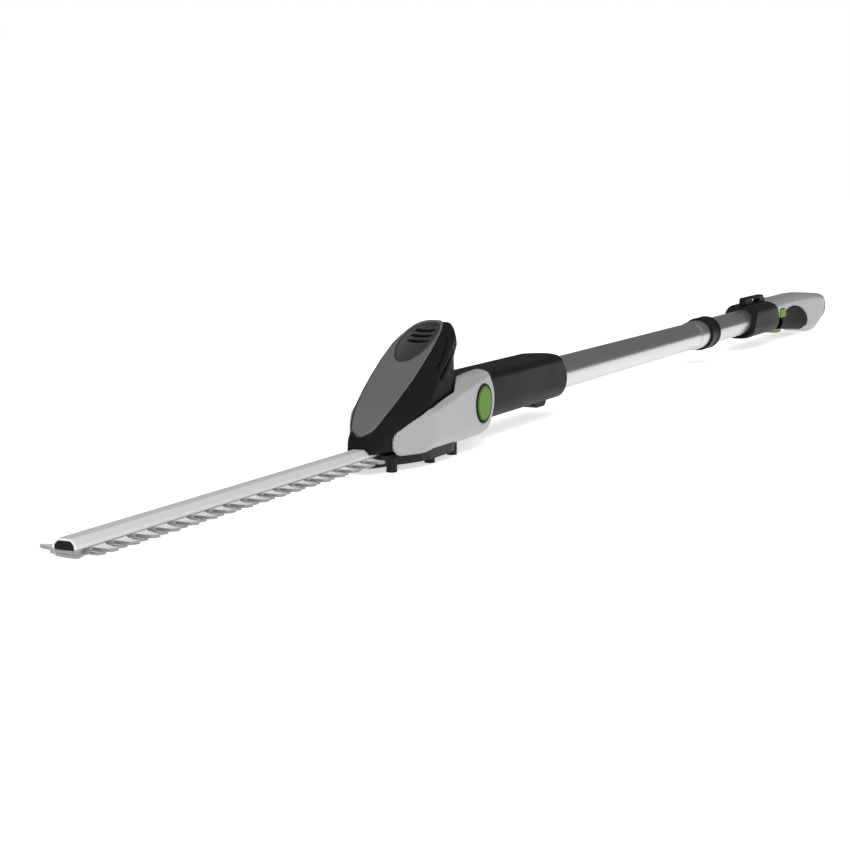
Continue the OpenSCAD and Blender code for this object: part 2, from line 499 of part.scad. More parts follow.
// open sides of the handle ahead of the grip, where the trigger shows
module finger_gap() side(-60, 60, [[1150,-60],[1163.6,-2.2],[1192.5,-4],[1197,-19],[1199,-60]]);
module handle_shell(s) color(silver) difference() {
  intersection() { hand_solid(0); half(s); box([1120,-60,-60],[cav_x1,60,60]); }
  side(-60, 60, rear_zone);
  side(-60, 60, grip_zone);
  finger_gap();
  hand_cavity();
  side(-60, 60, rbox(1171.6, -3, 1205.4, 10, 4));
}
module handle_shell_left() handle_shell(-1);
module handle_shell_right() handle_shell(1);
module grip_half_part(s) color("#2a2a2a") difference() {
  intersection() { hand_solid(0); half(s); side(-60, 60, inset(grip_zone, 0.12)); }
  hand_cavity();
  trigger_slot();
  finger_gap();
  side(-60, 60, rbox(1171.6, -3, 1205.4, 10, 4));
  for (b = screw_at) ycyl(-17.5, 30, 1.6, b[0], b[1]);
  for (b = screw_at) ycyl(16.5, 30, 3.4, b[0], b[1]);
  ycyl(-15, 15, 2.5, 1236, -11);
}
module grip_left() grip_half_part(-1);
module grip_right() grip_half_part(1);
module handle_screws() color(steel) for (b = screw_at) {
  ycyl(-17, 16.6, 1.5, b[0], b[1]);
  difference() { ycyl(16.55, 18.4, 3.1, b[0], b[1]); ycyl(17.5, 20, 1.4, b[0], b[1]); }
}
module rear_housing() color("#1f1f1f") difference() {
  intersection() {
    union() {
      front(1012, 1166, rear_sec);
    }
    side(-60, 60, rear_zone);
    rotate([90,0,90]) rotate_extrude($fn = 96) polygon([[0,0],[0,1012],[22,1012],[24.4,1018],[30,1033],[40,1050],[40,1200],[0,1200]]);
  }
  xcyl(1005, 1121.1, tube_r+0.02);
  difference() { front(1121, 1200, inset(rear_sec, wall)); box([1000,-60,-60],[1121,60,60]); }
}
module strap_loop() color("#1b1b1b") difference() {
  intersection() {
    side(-5, 5, rounded([[1039,21,0],[1039,33,4],[1044,34.6,3],[1136,34.6,5],[1153,23,2],[1153,21,0]]));
    front(1030, 1160, rounded([[-5,20,0],[5,20,0],[5,34.6,2.4],[-5,34.6,2.4]]));
  }
  side(-30, 30, rbox(1074, 31-slot_h, 1118, 31, slot_h/2-0.1));
  front(1000, 1200, concat([[-30,0],[30,0]], [for (p = rear_sec) if (p[1] > 5) p]));
}
module trigger() color(green) difference() {
  side(-9, 9, rounded([[1184,-21,1.5],[1188,-25.4,3],[1212,-29.2,8],[1238,-28.4,4],[1244,-21,3],[1243.4,-6,4],[1230,-5,3],[1212,-10.5,5],[1194,-17.4,5]]));
  ycyl(-20, 20, 2.55, 1236, -11);
  box([1200.4,-4.6,-12.9],[1209.6,4.6,0]);
}
module trigger_pin() color(steel) ycyl(-14.8, 14.8, 2.5, 1236, -11);
module trigger_spring() color(steel) translate([1205,0,-12.3]) coil(3.2, 0.5, 8.4, 4);
module trigger_switch() color("#2e2e34") {
  box([1200,-8,-3.2],[1232,8,-1.8]);
  box([1207.5,-7,-1.9],[1231,7,13]);
  zcyl(-5.4, -3, 2, 1218);
}
module lock_button() color(green) {
  side(-24.4, -17, rbox(1172, -2.6, 1205, 9.6, 3.8));
  side(-17.2, 18, rbox(1181, 0, 1197, 7.6, 2));
  side(17.8, 23.2, rbox(1172, -2.6, 1205, 9.6, 3.8));
}
module control_board() color("#2d6b3c") {
  box([1240,-14,14.6],[1292,14,16.2]);
  box([1246,-10,10.6],[1258,-2,14.7]);
  box([1264,1,9.6],[1280,11,14.7]);
  zcyl(8.6, 14.7, 4, 1286, -7);
}
module battery_terminals() color("#3a3a3e") {
  box([1297,-10.5,-9],[1307,10.5,8]);
  for (y = [-6, 0, 6]) box([1306.8,y-0.4,-5],[1316,y+0.4,4]);
}
module handle_wiring() color("#b03a2e") {
  xcyl(786, 1110, 2.4);
  xcyl(774, 787, 11);
  side(-2, 2, [[1109,-2],[1109,2],[1160,14.5],[1170,17.6],[1239.6,17.6],[1239.6,14.8],[1172,14.8],[1162,11.8]]);
}
module battery_case() color("#3a3a3e") difference() {
  union() {
    front(1377.6, 1445.2, bat_sec);
    front(1311.6, 1378, rbox(-10.6, -12.6, 10.6, 8.6, 6));
  }
  // room for each cell
  xcyl(1379.6, 1450, cell_d/2+0.15, -9.35, 5.1);
  xcyl(1379.6, 1450, cell_d/2+0.15, 9.35, 5.1);
  xcyl(1379.6, 1450, cell_d/2+0.15, -9.35, -13.6);
  xcyl(1379.6, 1450, cell_d/2+0.15, 9.35, -13.6);
  xcyl(1318.4, 1390, cell_d/2+0.15, 0, -2);
  for (y = [-6, 0, 6]) box([1305,y-0.9,-5.8],[1317.4,y+0.9,4.8]);
}
module battery_cells() color("#4a6fa5") {
  for (y = [-9.35, 9.35], z = [5.1, -13.6]) xcyl(1380.1, 1445.1, cell_d/2, y, z);
  xcyl(1318.6, 1379.4, cell_d/2, 0, -2);
}
latch_zone = [[1483,4.4],[1495.5,4],[1499.6,-1.6],[1496,-8.2],[1484,-16.8],[1470,-22.4],[1465.4,-21],[1474.6,-13.6],[1481.4,-5]];
module battery_end() color(silver) difference() {
  intersection() { hand_solid(0); box([1445.4,-60,-60],[1600,60,60]); }
  difference() { hand_solid(wall+0.4); box([1100,-60,-60],[1447,60,60]); for (s=[-1,1]) side(s > 0 ? 6 : -30, s > 0 ? 30 : -6, inset(latch_zone, -2.4)); }
  front(1440, 1450.4, inset(bat_sec, 2.2));
  for (s = [-1, 1]) side(s > 0 ? 9.6 : -30, s > 0 ? 30 : -9.6, inset(latch_zone, -0.3));
}
module battery_latch(s) color(green) intersection() {
  side(s > 0 ? 12.4 : -30, s > 0 ? 30 : -12.4, latch_zone);
  hand_solid(-0.7);
}
module battery_latch_left() battery_latch(-1);
module battery_latch_right() battery_latch(1);

module at() translate(shift) children();
at() motor_housing_left();
at() motor_housing_right();
at() top_panel();
at() vent_insert();
at() side_cover_left();
at() side_cover_right();
at() gearbox_base();
at() base_screws();
at() gear_plate();
at() motor_bracket();
at() motor_can();
at() gear_bearings();
at() pivot_pin();
at() pivot_bezels();
at() pivot_springs();
at() blade_cover();
at() cover_end_cap();
at() blade_beam();
at() blade_screws();
at() motor_shaft();
at() motor_armature();
at() pinion();
at() cooling_fan();
at() drive_gear();
at() crank_shaft();
at() upper_blade();
at() lower_blade();
at() pivot_button_left();
at() pivot_button_right();
at() pivot_tongue();
at() connector_left();
at() connector_right();
at() connector_screws();
at() contact_socket();
at() pole_latch();
at() extension_tube();
at() joint_collar();
at() extension_wiring();
at() rear_tube();
at() rear_housing();
at() strap_loop();
at() handle_shell_left();
at() handle_shell_right();
at() grip_left();
at() grip_right();
at() handle_screws();
at() trigger_switch();
at() control_board();
at() battery_terminals();
at() handle_wiring();
at() trigger();
at() trigger_pin();
at() trigger_spring();
at() lock_button();
at() battery_case();
at() battery_cells();
at() battery_end();
at() battery_latch_left();
at() battery_latch_right();
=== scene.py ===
import bpy, bmesh, math, json
import numpy as np
from mathutils import Vector, Matrix


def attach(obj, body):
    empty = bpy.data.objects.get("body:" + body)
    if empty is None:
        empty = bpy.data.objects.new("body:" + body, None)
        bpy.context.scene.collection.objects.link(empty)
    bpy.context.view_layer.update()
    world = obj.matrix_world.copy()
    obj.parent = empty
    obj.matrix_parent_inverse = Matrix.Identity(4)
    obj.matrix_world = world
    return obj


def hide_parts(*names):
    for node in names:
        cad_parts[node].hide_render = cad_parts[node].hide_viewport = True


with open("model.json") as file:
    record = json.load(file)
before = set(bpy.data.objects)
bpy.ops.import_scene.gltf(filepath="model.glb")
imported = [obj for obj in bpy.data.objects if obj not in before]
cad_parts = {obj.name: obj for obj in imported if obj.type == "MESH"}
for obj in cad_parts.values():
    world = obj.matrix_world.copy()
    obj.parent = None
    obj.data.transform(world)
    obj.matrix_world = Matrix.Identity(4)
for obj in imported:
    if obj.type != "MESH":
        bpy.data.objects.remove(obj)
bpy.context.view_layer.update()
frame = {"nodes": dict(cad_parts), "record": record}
SX, SZ = -0.46625, 0.039
nodes_of = frame["nodes"]

# ---------------------------------------------------------------- camera
cam_data = bpy.data.cameras.new("camera")
cam = bpy.data.objects.new("camera", cam_data)
bpy.context.scene.collection.objects.link(cam)
R, U, B = Vector((0.4228, -0.9062, 0)), Vector((0.1251, 0.0584, 0.9904)), Vector((-0.8975, -0.4188, 0.1381))
m = Matrix.Identity(4)
for i in range(3):
    m[i][0], m[i][1], m[i][2] = R[i], U[i], B[i]
m[0][3], m[1][3], m[2][3] = -1.4443 + SX, -0.6530, 0.2018 + SZ
cam.matrix_world = m
cam_data.sensor_width = 36.0
cam_data.sensor_fit = "HORIZONTAL"
cam_data.lens = 74.12
cam_data.clip_start = 0.01
cam_data.clip_end = 100
bpy.context.scene.camera = cam


# ---------------------------------------------------------------- studio
def area(name, loc, target, size, power, color=(1, 1, 1)):
    d = bpy.data.lights.new(name, "AREA")
    d.shape = "RECTANGLE"
    d.size, d.size_y = size
    d.energy = power
    d.color = color
    o = bpy.data.objects.new(name, d)
    bpy.context.scene.collection.objects.link(o)
    o.location = loc
    o.rotation_euler = (Vector(target) - Vector(loc)).to_track_quat("-Z", "Y").to_euler()
    return o


area("key", (-2.6, -0.9, 3.0), (-0.2, 0, 0.05), (2.6, 1.8), 95)
area("fill", (0.2, -3.4, 0.9), (0.1, 0, 0.05), (3.6, 1.0), 11)
area("top", (0.4, 0.2, 3.6), (0.2, 0, 0), (3.6, 0.9), 16)

world = bpy.data.worlds.new("studio")
bpy.context.scene.world = world
world.use_nodes = True
wn, wl = world.node_tree.nodes, world.node_tree.links
wn.clear()
out = wn.new("ShaderNodeOutputWorld")
bg = wn.new("ShaderNodeBackground")
tc = wn.new("ShaderNodeTexCoord")
dot = wn.new("ShaderNodeVectorMath")
dot.operation = "DOT_PRODUCT"
dot.inputs[1].default_value = (-0.72, -0.55, 0.42)
wl.new(tc.outputs["Generated"], dot.inputs[0])
mr = wn.new("ShaderNodeMapRange")
mr.inputs["From Min"].default_value = -0.35
mr.inputs["From Max"].default_value = 0.75
mr.inputs["To Min"].default_value = 0.16
mr.inputs["To Max"].default_value = 0.95
wl.new(dot.outputs["Value"], mr.inputs["Value"])
lp = wn.new("ShaderNodeLightPath")
mx = wn.new("ShaderNodeMix")
mx.data_type = "FLOAT"
wl.new(lp.outputs["Is Camera Ray"], mx.inputs[0])
wl.new(mr.outputs[0], mx.inputs[2])
mx.inputs[3].default_value = 1.0
bg.inputs[0].default_value = (1, 1, 1, 1)
wl.new(mx.outputs[0], bg.inputs[1])
wl.new(bg.outputs[0], out.inputs[0])

me = bpy.data.meshes.new("floor")
bm = bmesh.new()
bmesh.ops.create_circle(bm, cap_ends=True, radius=30, segments=96)
bm.to_mesh(me)
bm.free()
floor = bpy.data.objects.new("floor", me)
bpy.context.scene.collection.objects.link(floor)
floor.location.z = -0.0002
fm = bpy.data.materials.new("floor_paint")
fm.use_nodes = True
b = fm.node_tree.nodes["Principled BSDF"]
b.inputs["Base Color"].default_value = (0.8, 0.8, 0.8, 1)
b.inputs["Roughness"].default_value = 0.9
b.inputs["Emission Color"].default_value = (1, 1, 1, 1)
b.inputs["Emission Strength"].default_value = 0.62
me.materials.append(fm)


# ------------------------------------------------------------- materials
def finish(name, col, rough, metal=0.0, grain=900.0, bump=0.06, var=0.10, spec=0.5, round_r=0.0006, edge_wear_and_highlight=0.0,
           edge_wear_highlight_col=(0.3, 0.3, 0.3), coat=0.0, stretch=(1, 1, 1), big=14.0, rough_var=0.10, painted_flank_shade_col=None):
    """A procedural surface: base colour that varies slowly, a fine grain for bump, uneven roughness, rounded edges."""
    m = bpy.data.materials.new(name)
    m.use_nodes = True
    n, l = m.node_tree.nodes, m.node_tree.links
    p = n["Principled BSDF"]
    p.inputs["Metallic"].default_value = metal
    p.inputs["Specular IOR Level"].default_value = spec
    p.inputs["Coat Weight"].default_value = coat
    p.inputs["Coat Roughness"].default_value = 0.12
    tc = n.new("ShaderNodeTexCoord")
    mp = n.new("ShaderNodeMapping")
    mp.inputs["Scale"].default_value = stretch
    l.new(tc.outputs["Object"], mp.inputs["Vector"])
    slow = n.new("ShaderNodeTexNoise")
    slow.inputs["Scale"].default_value = big
    slow.inputs["Detail"].default_value = 4.0
    l.new(mp.outputs[0], slow.inputs["Vector"])
    fine = n.new("ShaderNodeTexNoise")
    fine.inputs["Scale"].default_value = grain
    fine.inputs["Detail"].default_value = 2.0
    l.new(mp.outputs[0], fine.inputs["Vector"])
    ramp = n.new("ShaderNodeMix")
    ramp.data_type = "RGBA"
    ramp.inputs[6].default_value = (*[c * (1 - var) for c in col], 1)
    ramp.inputs[7].default_value = (*[min(1, c * (1 + var)) for c in col], 1)
    l.new(slow.outputs["Fac"], ramp.inputs[0])
    colour = ramp.outputs[2]
    rr = n.new("ShaderNodeMapRange")
    rr.inputs["To Min"].default_value = max(0.04, rough - rough_var)
    rr.inputs["To Max"].default_value = min(1, rough + rough_var)
    l.new(slow.outputs["Fac"], rr.inputs["Value"])
    rough_out = rr.outputs[0]
    # convex edges found by pointiness are lightened toward the edge colour in a fine-noise pattern: partly edge wear,
    # partly painted highlight on the bevels
    if edge_wear_and_highlight > 0:
        geo = n.new("ShaderNodeNewGeometry")
        wr = n.new("ShaderNodeMapRange")
        wr.inputs["From Min"].default_value = 0.56
        wr.inputs["From Max"].default_value = 0.68
        wr.inputs["To Min"].default_value = 0.0
        wr.inputs["To Max"].default_value = edge_wear_and_highlight
        l.new(geo.outputs["Pointiness"], wr.inputs["Value"])
        mul = n.new("ShaderNodeMath")
        mul.operation = "MULTIPLY"
        l.new(wr.outputs[0], mul.inputs[0])
        l.new(fine.outputs["Fac"], mul.inputs[1])
        wm = n.new("ShaderNodeMix")
        wm.data_type = "RGBA"
        wm.inputs[7].default_value = (*edge_wear_highlight_col, 1)
        l.new(mul.outputs[0], wm.inputs[0])
        l.new(colour, wm.inputs[6])
        colour = wm.outputs[2]
    if painted_flank_shade_col is not None:
        # painted shade: faces whose normal points sideways (small |Z|) get the darker colour, so the blade flanks read
        # as shaded and the flat faces as lit
        geo2 = n.new("ShaderNodeNewGeometry")
        sep = n.new("ShaderNodeSeparateXYZ")
        l.new(geo2.outputs["Normal"], sep.inputs[0])
        ab = n.new("ShaderNodeMath")
        ab.operation = "ABSOLUTE"
        l.new(sep.outputs["Z"], ab.inputs[0])
        em = n.new("ShaderNodeMix")
        em.data_type = "RGBA"
        em.inputs[6].default_value = (*painted_flank_shade_col, 1)
        l.new(ab.outputs[0], em.inputs[0])
        l.new(colour, em.inputs[7])
        colour = em.outputs[2]
    l.new(colour, p.inputs["Base Color"])
    l.new(rough_out, p.inputs["Roughness"])
    bev = n.new("ShaderNodeBevel")
    bev.samples = 4
    bev.inputs["Radius"].default_value = round_r
    bp = n.new("ShaderNodeBump")
    bp.inputs["Strength"].default_value = bump
    bp.inputs["Distance"].default_value = 0.0004
    l.new(fine.outputs["Fac"], bp.inputs["Height"])
    l.new(bev.outputs[0], bp.inputs["Normal"])
    l.new(bp.outputs[0], p.inputs["Normal"])
    return m


M = {
    # black_plastic and silver_plastic: lighter convex edges are partly wear, partly painted highlight
    "black_plastic": finish("black_plastic", (0.0058, 0.0058, 0.0062), 0.46, grain=1500, bump=0.15, spec=0.055, edge_wear_and_highlight=0.2, edge_wear_highlight_col=(0.05, 0.05, 0.05)),
    "base_plastic": finish("base_plastic", (0.007, 0.007, 0.0074), 0.5, grain=1200, bump=0.2, spec=0.14),
    "panel_plastic": finish("panel_plastic", (0.075, 0.075, 0.075), 0.46, grain=1600, bump=0.16, var=0.06, spec=0.3),
    "vent_plastic": finish("vent_plastic", (0.016, 0.016, 0.0165), 0.3, grain=1600, bump=0.06, spec=0.4, coat=0.1),
    "silver_plastic": finish("silver_plastic", (0.265, 0.268, 0.272), 0.36, metal=0.15, grain=2200, bump=0.10, var=0.05, spec=0.5, edge_wear_and_highlight=0.35, edge_wear_highlight_col=(0.7, 0.7, 0.71)),
    "green_plastic": finish("green_plastic", (0.062, 0.165, 0.0015), 0.4, grain=1600, bump=0.06, var=0.08, spec=0.12, coat=0.0),
    "soft_grip": finish("soft_grip", (0.006, 0.006, 0.0064), 0.6, grain=700, bump=0.4, spec=0.045),
    "pole_metal": finish("pole_metal", (0.46, 0.46, 0.47), 0.27, metal=0.95, grain=500, bump=0.05, var=0.05, stretch=(0.04, 1, 1), rough_var=0.05),
    "cover_metal": finish("cover_metal", (0.62, 0.62, 0.635), 0.34, metal=0.35, grain=900, bump=0.05, var=0.05, stretch=(0.05, 1, 1), rough_var=0.06),
    # blade_steel: sideways-facing flanks get a painted shade colour (0.2 grey)
    "blade_steel": finish("blade_steel", (0.78, 0.78, 0.78), 0.3, metal=0.45, grain=900, bump=0.08, var=0.06, stretch=(1, 0.08, 1), painted_flank_shade_col=(0.2, 0.2, 0.205)),
    "steel": finish("steel", (0.42, 0.42, 0.43), 0.3, metal=1.0, grain=1400, bump=0.08),
    "cast_alloy": finish("cast_alloy", (0.36, 0.36, 0.37), 0.55, metal=0.9, grain=420, bump=0.5),
    "gear_steel": finish("gear_steel", (0.3, 0.3, 0.31), 0.25, metal=1.0, grain=1200, bump=0.08, coat=0.3),
    "knuckle_plastic": finish("knuckle_plastic", (0.009, 0.009, 0.0095), 0.5, grain=800, bump=0.3, spec=0.15),
    "windings": finish("windings", (0.45, 0.17, 0.05), 0.3, metal=0.8, grain=420, bump=0.7, stretch=(1, 1, 8)),
    "wire_jacket": finish("wire_jacket", (0.28, 0.02, 0.015), 0.45, grain=900, bump=0.1),
    "circuit_board": finish("circuit_board", (0.02, 0.13, 0.04), 0.3, grain=300, bump=0.15, coat=0.4),
    "cell_wrap": finish("cell_wrap", (0.04, 0.15, 0.34), 0.25, grain=1000, bump=0.04, coat=0.5),
}
slots = {s["node"]: s["material_slot"] for s in frame["record"]["subparts"]}
for n, o in nodes_of.items():
    o.data.materials.clear()
    o.data.materials.append(M[slots[n]])

# ------------------------------------------------------------ solid fields
# Moulded shells are built from signed distance fields in the pivot-centred
# layout (millimetres), meshed with a surface net and projected on the field.
def spline(P, n=6, closed=True, alpha=0.5):
    P = np.asarray(P, float)
    out = []
    N = len(P)
    rng = range(N if closed else N - 1)
    for i in rng:
        if closed:
            p0, p1, p2, p3 = P[(i - 1) % N], P[i], P[(i + 1) % N], P[(i + 2) % N]
        else:
            p1, p2 = P[i], P[i + 1]
            p0 = P[i - 1] if i > 0 else 2 * p1 - p2
            p3 = P[i + 2] if i + 2 < N else 2 * p2 - p1
        t0 = 0.0
        t1 = t0 + max(np.linalg.norm(p1 - p0), 1e-6) ** alpha
        t2 = t1 + max(np.linalg.norm(p2 - p1), 1e-6) ** alpha
        t3 = t2 + max(np.linalg.norm(p3 - p2), 1e-6) ** alpha
        for k in range(n):
            t = t1 + (t2 - t1) * k / n
            a1 = (t1 - t) / (t1 - t0) * p0 + (t - t0) / (t1 - t0) * p1
            a2 = (t2 - t) / (t2 - t1) * p1 + (t - t1) / (t2 - t1) * p2
            a3 = (t3 - t) / (t3 - t2) * p2 + (t - t2) / (t3 - t2) * p3
            b1 = (t2 - t) / (t2 - t0) * a1 + (t - t0) / (t2 - t0) * a2
            b2 = (t3 - t) / (t3 - t1) * a2 + (t - t1) / (t3 - t1) * a3
            out.append((t2 - t) / (t2 - t1) * b1 + (t - t1) / (t2 - t1) * b2)
    if not closed:
        out.append(P[-1])
    return np.array(out)


def rounded(V, k=6):
    out = []
    n = len(V)
    for i in range(n):
        a, b, c = (np.array(V[(i - 1) % n][:2], float), np.array(V[i][:2], float), np.array(V[(i + 1) % n][:2], float))
        r = V[i][2]
        if r <= 0:
            out.append(b)
            continue
        u, v = (a - b) / np.linalg.norm(a - b), (c - b) / np.linalg.norm(c - b)
        h = math.acos(max(-1, min(1, float(u @ v)))) / 2
        q = (u + v) / np.linalg.norm(u + v)
        ctr = b + q * (r / math.sin(h))
        s, e = b + u * (r / math.tan(h)) - ctr, b + v * (r / math.tan(h)) - ctr
        a0, a1 = math.atan2(s[1], s[0]), math.atan2(e[1], e[0])
        d = a1 - a0
        d = d - 2 * math.pi if d > math.pi else d + 2 * math.pi if d < -math.pi else d
        for j in range(k + 1):
            w = a0 + d * j / k
            out.append(ctr + r * np.array([math.cos(w), math.sin(w)]))
    return np.array(out)


def rbox2(x0, y0, x1, y1, r):
    return rounded([[x0, y0, r], [x1, y0, r], [x1, y1, r], [x0, y1, r]])


def poly(P, px, py):
    """Signed distance to a closed outline, negative inside."""
    P = np.asarray(P, float)
    px, py = np.broadcast_arrays(px, py)
    d = np.full(px.shape, 1e18)
    inside = np.zeros(px.shape, bool)
    for i in range(len(P)):
        a, b = P[i], P[i - 1]
        ex, ey = b[0] - a[0], b[1] - a[1]
        q = ex * ex + ey * ey
        if q < 1e-12:
            continue
        wx, wy = px - a[0], py - a[1]
        t = np.clip((wx * ex + wy * ey) / q, 0, 1)
        dx, dy = wx - ex * t, wy - ey * t
        d = np.minimum(d, dx * dx + dy * dy)
        c1, c2, c3 = py >= a[1], py < b[1], ex * wy > ey * wx
        inside ^= (c1 & c2 & c3) | (~c1 & ~c2 & ~c3)
    return np.where(inside, -1, 1) * np.sqrt(d)


def rint(a, b, r):
    """Intersection with a round edge of radius r."""
    return np.minimum(-r, np.maximum(a, b)) + np.hypot(np.maximum(a + r, 0), np.maximum(b + r, 0))


def rsub(a, b, r):
    return rint(a, -b, r)


def runi(a, b, r):
    """Union with a fillet of radius r."""
    return np.maximum(r, np.minimum(a, b)) - np.hypot(np.maximum(r - a, 0), np.maximum(r - b, 0))


def boxf(x, y, z, lo, hi, r=0.0):
    c = [(l + h) / 2 for l, h in zip(lo, hi)]
    e = [(h - l) / 2 - r for l, h in zip(lo, hi)]
    q = [np.abs(x - c[0]) - e[0], np.abs(y - c[1]) - e[1], np.abs(z - c[2]) - e[2]]
    o = np.sqrt(np.maximum(q[0], 0) ** 2 + np.maximum(q[1], 0) ** 2 + np.maximum(q[2], 0) ** 2)
    return o + np.minimum(np.maximum(np.maximum(q[0], q[1]), q[2]), 0) - r


def ycylf(x, y, z, cx, cz, r, y0, y1, e=0.0):
    return rint(np.hypot(x - cx, z - cz) - r, np.abs(y - (y0 + y1) / 2) - abs(y1 - y0) / 2, e) if e else \
        np.maximum(np.hypot(x - cx, z - cz) - r, np.abs(y - (y0 + y1) / 2) - abs(y1 - y0) / 2)


CORN = [(i, j, k) for i in (0, 1) for j in (0, 1) for k in (0, 1)]
EDGES = [(a, b) for n, a in enumerate(CORN) for b in CORN[n + 1:] if sum(abs(p - q) for p, q in zip(a, b)) == 1]


def surface_net(f, lo, hi, h):
    ax = [np.arange(lo[i] - 1.5 * h, hi[i] + 2.5 * h, h) for i in range(3)]
    F = np.array(np.broadcast_to(f(ax[0][:, None, None], ax[1][None, :, None], ax[2][None, None, :]),
                                 tuple(len(a) for a in ax)), np.float32)
    F[np.abs(F) < 1e-5] = 1e-5
    S = F < 0
    n = [s - 1 for s in F.shape]
    cnt = np.zeros(n, np.int8)
    for i, j, k in CORN:
        cnt += S[i:i + n[0], j:j + n[1], k:k + n[2]]
    act = np.argwhere((cnt > 0) & (cnt < 8))
    idx = np.full(n, -1, np.int64)
    idx[act[:, 0], act[:, 1], act[:, 2]] = np.arange(len(act))
    acc, num = np.zeros((len(act), 3)), np.zeros(len(act))
    for a, b in EDGES:
        fa = F[act[:, 0] + a[0], act[:, 1] + a[1], act[:, 2] + a[2]]
        fb = F[act[:, 0] + b[0], act[:, 1] + b[1], act[:, 2] + b[2]]
        mk = (fa < 0) != (fb < 0)
        t = np.where(mk, fa / np.where(mk, fa - fb, 1), 0)
        p = np.array(a) + t[:, None] * (np.array(b) - np.array(a))
        acc += p * mk[:, None]
        num += mk
    V = act + acc / num[:, None]
    V = V * h + np.array([ax[0][0], ax[1][0], ax[2][0]])
    quads = []
    for d in range(3):
        u, v = (d + 1) % 3, (d + 2) % 3
        sl0 = [slice(None)] * 3
        sl1 = [slice(None)] * 3
        sl0[d], sl1[d] = slice(0, -1), slice(1, None)
        A, Bq = S[tuple(sl0)], S[tuple(sl1)]
        e = np.argwhere(A != Bq)
        e = e[(e[:, u] > 0) & (e[:, v] > 0) & (e[:, u] < n[u]) & (e[:, v] < n[v])]
        flip = A[e[:, 0], e[:, 1], e[:, 2]]
        def cell(du, dv):
            c = e.copy()
            c[:, u] += du
            c[:, v] += dv
            return idx[c[:, 0], c[:, 1], c[:, 2]]
        q = np.stack([cell(-1, -1), cell(0, -1), cell(0, 0), cell(-1, 0)], 1)
        q[~flip] = q[~flip][:, ::-1]
        quads.append(q)
    Q = np.concatenate(quads)
    eps = 0.02
    for it in range(4):
        x, y, z = V[:, 0], V[:, 1], V[:, 2]
        v0 = f(x, y, z)
        g = np.stack([f(x + eps, y, z) - f(x - eps, y, z), f(x, y + eps, z) - f(x, y - eps, z),
                      f(x, y, z + eps) - f(x, y, z - eps)], 1) / (2 * eps)
        gg = np.maximum((g * g).sum(1), 0.05)
        step = -(v0 / gg)[:, None] * g
        ln = np.linalg.norm(step, axis=1)
        step *= (np.minimum(ln, 0.35 * h) / np.maximum(ln, 1e-9))[:, None]
        V = V + step
    return V, Q


def net_object(name, f, lo, hi, h, material, body, replaces=(), keep_all=False, flat=None):
    V, Q = surface_net(f, lo, hi, h)
    V = (V + np.array([SX * 1000, 0, SZ * 1000])) / 1000.0
    me = bpy.data.meshes.new(name)
    me.from_pydata(V.tolist(), [], Q.tolist())
    me.update()
    bm = bmesh.new()
    bm.from_mesh(me)
    bmesh.ops.remove_doubles(bm, verts=bm.verts, dist=1e-6)
    # drop crumbs smaller than 40 faces
    seen = set()
    crumbs = []
    for fc in bm.faces:
        if fc.index in seen:
            continue
        stack, comp = [fc], []
        seen.add(fc.index)
        while stack:
            c = stack.pop()
            comp.append(c)
            for e in c.edges:
                for g in e.link_faces:
                    if g.index not in seen:
                        seen.add(g.index)
                        stack.append(g)
        if len(comp) < 40:
            crumbs += comp
    if crumbs and not keep_all:
        bmesh.ops.delete(bm, geom=crumbs, context="FACES")
    for fc in bm.faces:
        fc.smooth = True
    bm.to_mesh(me)
    bm.free()
    me.materials.append(material)
    o = bpy.data.objects.new(name, me)
    bpy.context.scene.collection.objects.link(o)
    if replaces:
        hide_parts(*replaces)
    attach(o, body)
    return o


# ------------------------------------------------------------ the shells
def mirror(P):
    """Outline [(x, half width)] closed well below the centre line, for use with |y|."""
    P = np.array(P, float)
    return np.vstack([P, [[P[-1, 0], -90], [P[0, 0], -90]]])


nose = spline([[-176, -13], [-174.6, -8.6], [-171, -4.5], [-156, 8], [-142, 17.5], [-128, 26.2], [-110, 36.8], [-90, 48.8],
               [-70, 60.2], [-58, 66.4], [-45, 72.4], [-35, 76.3], [-25, 78.4], [-18, 78]], 6, False)
HEAD_SIDE = np.vstack([[[-176.5, -24.4]], nose, spline([[-18, 78], [-13.5, 74], [-11.5, 66], [-12.5, 55], [-15, 44],
                      [-17, 34], [-21, 30], [-30, 24]], 4, False), [[-32, -6], [-24, -24.4]]])
HEAD_PLAN = mirror([[-176.5, 8.4], [-174.4, 11], [-170, 12.9], [-160, 16.4], [-150, 19.4], [-140, 23.6], [-130, 28], [-120, 31.8],
                    [-105, 34.5], [-60, 34.7], [-48, 30.4], [-36, 25.8], [-26, 20.5], [-17, 13.5], [-11, 5]])
HEAD_FRONT = np.array([[-90, -24.4], [34.7, -24.4], [34.7, 14], [27.5, 62], [22, 79.5], [-90, 79.5]])
PANEL = spline([[-173, 0.0], [-171, 5.5], [-166, 10.6], [-156, 14.2], [-142, 17], [-128, 18.8], [-110, 20.2], [-90, 20.6], [-70, 19.8],
                [-58, 18.4], [-45, 16], [-35, 13], [-27, 8.6], [-23, 5], [-21, 0], [-23, -5], [-27, -8.6], [-35, -13], [-45, -16],
                [-58, -18.4], [-70, -19.8], [-90, -20.6], [-110, -20.2], [-128, -18.8], [-142, -17], [-156, -14.2], [-166, -10.6],
                [-171, -5.5]], 3)
CT, ST = math.cos(math.radians(25)), math.sin(math.radians(25))


def oval(x, y, z, a, b):
    u = (x + 62) * CT + (z - 65) * ST
    k = np.sqrt((u / a) ** 2 + (y / b) ** 2)
    return (k - 1) * (a + b) / 2 * 0.72


